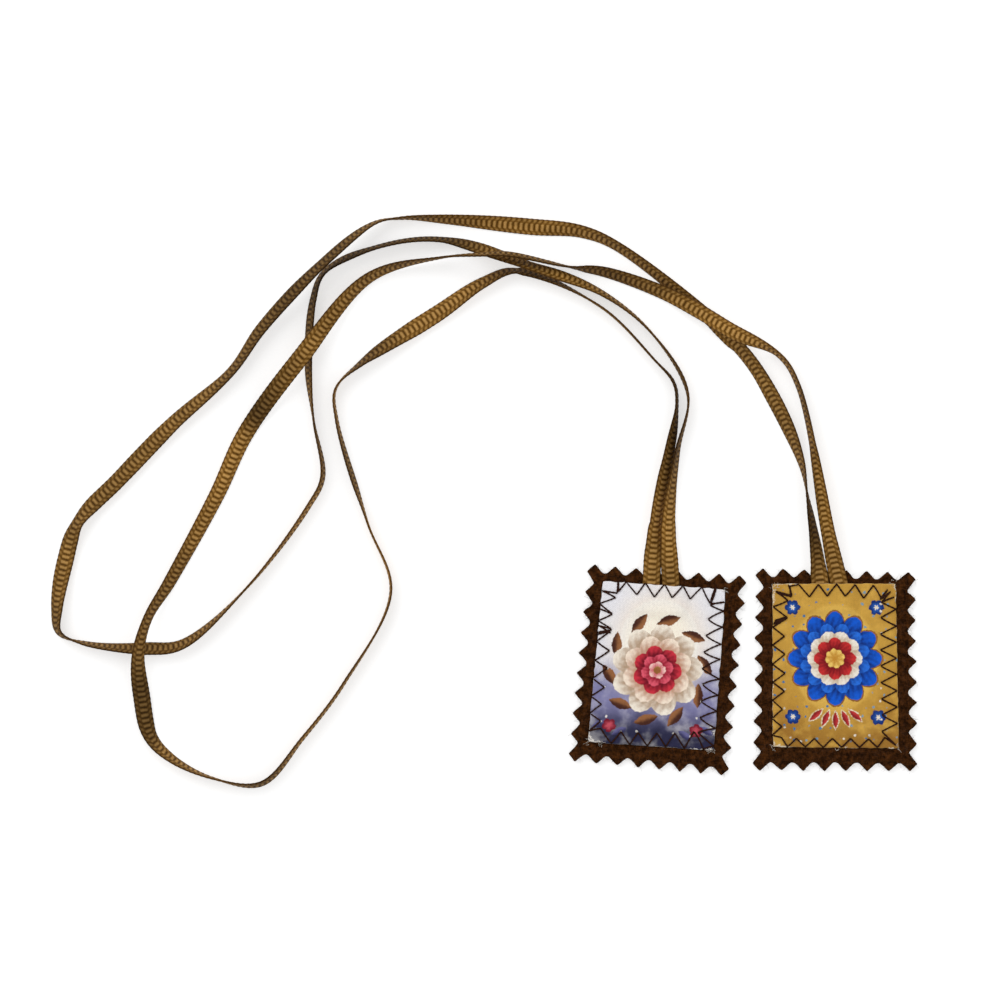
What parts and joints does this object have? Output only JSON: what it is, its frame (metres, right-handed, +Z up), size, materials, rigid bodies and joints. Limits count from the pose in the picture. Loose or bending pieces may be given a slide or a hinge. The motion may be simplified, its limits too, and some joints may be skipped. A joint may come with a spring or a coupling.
{
  "type": "cloth scapular",
  "caption": "Small devotional cloth scapular laid flat: two pinked felt panels with picture patches, joined by two loosely crossing grosgrain ribbons.",
  "frame": {"origin": "on the table, under the middle of the two felt panels", "axes": "+X to the right across both panels, +Y from the panels towards the top of the flat lay, +Z up from the table"},
  "size_m": [0.2297, 0.1523, 0.0106],
  "materials": {
    "felt": "dark brown wool felt with cut pinked edges",
    "print_left": "woven cloth printed in pale lavender, cream and crimson",
    "print_right": "woven cloth printed in gold, blue and ivory",
    "ribbon": "bronze-brown grosgrain with cross ribs and a soft sheen"
  },
  "bodies": {
    "root": {"felt_left": "felt", "felt_right": "felt", "patch_left": "print_left", "patch_right": "print_right", "ribbon_a": "ribbon", "ribbon_b": "ribbon"}
  },
  "joints": []
}
